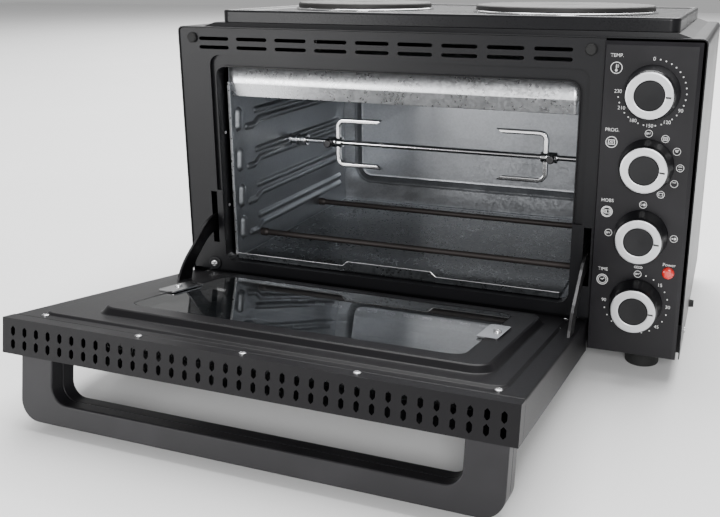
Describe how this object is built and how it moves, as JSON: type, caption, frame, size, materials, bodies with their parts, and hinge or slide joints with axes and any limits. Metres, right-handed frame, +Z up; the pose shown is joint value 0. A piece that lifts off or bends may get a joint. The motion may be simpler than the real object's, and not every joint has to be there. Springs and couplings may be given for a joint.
{
  "type": "rotisserie oven",
  "caption": "Table-top electric oven with a rotisserie spit inside, hotplates on top, a column of control knobs and a drop-down door with a loop handle.",
  "frame": {"origin": "centre of the footprint of the whole oven, door open, on the table it stands on", "axes": "+Z up, +X to the right of someone facing the oven, +Y towards its back"},
  "size_m": [0.53, 0.6114, 0.3327],
  "materials": {
    "black_enamel": "semi-gloss black powder coat",
    "black_steel": "blackened steel",
    "black_plastic": "satin black moulding",
    "aluminised_steel": "spangled aluminised sheet",
    "bright_steel": "polished",
    "cast_iron": "matte black coating",
    "heater": "oxidised dark tube",
    "dark_glass": "tinted",
    "black_rubber": "matte",
    "red_lens": "translucent red",
    "grey_plastic": "moulded"
  },
  "bodies": {
    "cabinet": {"outer_wrap": "black_enamel", "base_plate": "aluminised_steel", "rear_cover": "black_enamel", "cord_gland": "black_rubber", "front_frame": "black_enamel", "foot_front_left": "black_rubber", "foot_front_right": "black_rubber", "foot_rear_left": "black_rubber", "foot_rear_right": "black_rubber", "door_buffer_left": "black_rubber", "door_buffer_right": "black_rubber", "side_spacer_left": "black_rubber", "side_spacer_right": "black_rubber", "cavity_left": "aluminised_steel", "cavity_right": "aluminised_steel", "cavity_top": "aluminised_steel", "cavity_floor": "aluminised_steel", "cavity_back": "aluminised_steel", "top_reflector": "aluminised_steel", "heating_rod_lower_front": "heater", "heating_rod_lower_rear": "heater", "heating_rod_upper_front": "heater", "heating_rod_upper_rear": "heater", "crumb_tray": "aluminised_steel", "spit_motor": "grey_plastic", "spit_bearing": "bright_steel", "control_panel": "black_plastic", "thermostat": "grey_plastic", "program_switch": "grey_plastic", "hob_switch": "grey_plastic", "clockwork_timer": "grey_plastic", "power_lamp": "red_lens", "hob_tray": "black_enamel", "hotplate_left": "cast_iron", "hotplate_right": "cast_iron", "spill_ring_left": "bright_steel", "spill_ring_right": "bright_steel", "hinge_bracket_left": "bright_steel", "hinge_bracket_right": "bright_steel"},
    "door": {"door_skin": "black_enamel", "door_vent_cap": "black_enamel", "door_inner_panel": "black_enamel", "inner_glass": "dark_glass", "outer_glass": "dark_glass", "glass_clip_left": "bright_steel", "glass_clip_right": "bright_steel", "door_stay_left": "black_steel", "door_stay_right": "black_steel", "handle_front_shell": "black_plastic", "handle_rear_shell": "black_plastic"},
    "spit": {"drive_socket": "bright_steel", "spit_rod": "bright_steel"},
    "fork_left": {"spit_fork_left": "bright_steel", "thumbscrew_left": "bright_steel"},
    "fork_right": {"spit_fork_right": "bright_steel", "thumbscrew_right": "bright_steel"},
    "knob_temperature": {"knob_temperature": "black_plastic"},
    "knob_program": {"knob_program": "black_plastic"},
    "knob_hob": {"knob_hob": "black_plastic"},
    "knob_timer": {"knob_timer": "black_plastic"}
  },
  "joints": [
    {"name": "door_hinge", "type": "hinge", "parent": "cabinet", "child": "door", "pos_m": [-0.04205, -0.03182, 0.0409], "axis": [-1, 0, 0], "range_deg": [0, 80.59]},
    {"name": "spit_turn", "type": "hinge", "parent": "cabinet", "child": "spit", "pos_m": [-0.2185, 0.11868, 0.1735], "axis": [1, 0, 0], "continuous": true},
    {"name": "left_fork_slide", "type": "slide", "parent": "spit", "child": "fork_left", "axis": [1, 0, 0], "range_m": [-0.02, 0.06]},
    {"name": "right_fork_slide", "type": "slide", "parent": "spit", "child": "fork_right", "axis": [1, 0, 0], "range_m": [-0.05, 0.008]},
    {"name": "temperature_knob_turn", "type": "hinge", "parent": "cabinet", "child": "knob_temperature", "pos_m": [0.2177, -0.02132, 0.2654], "axis": [0, 1, 0], "range_deg": [-95, 175]},
    {"name": "program_knob_turn", "type": "hinge", "parent": "cabinet", "child": "knob_program", "pos_m": [0.2177, -0.02132, 0.2017], "axis": [0, 1, 0], "range_deg": [-95, 85]},
    {"name": "hob_knob_turn", "type": "hinge", "parent": "cabinet", "child": "knob_hob", "pos_m": [0.2177, -0.02132, 0.138], "axis": [0, 1, 0], "range_deg": [-185, 0]},
    {"name": "timer_knob_turn", "type": "hinge", "parent": "cabinet", "child": "knob_timer", "pos_m": [0.2177, -0.02132, 0.0732], "axis": [0, 1, 0], "range_deg": [-95, 200]}
  ]
}
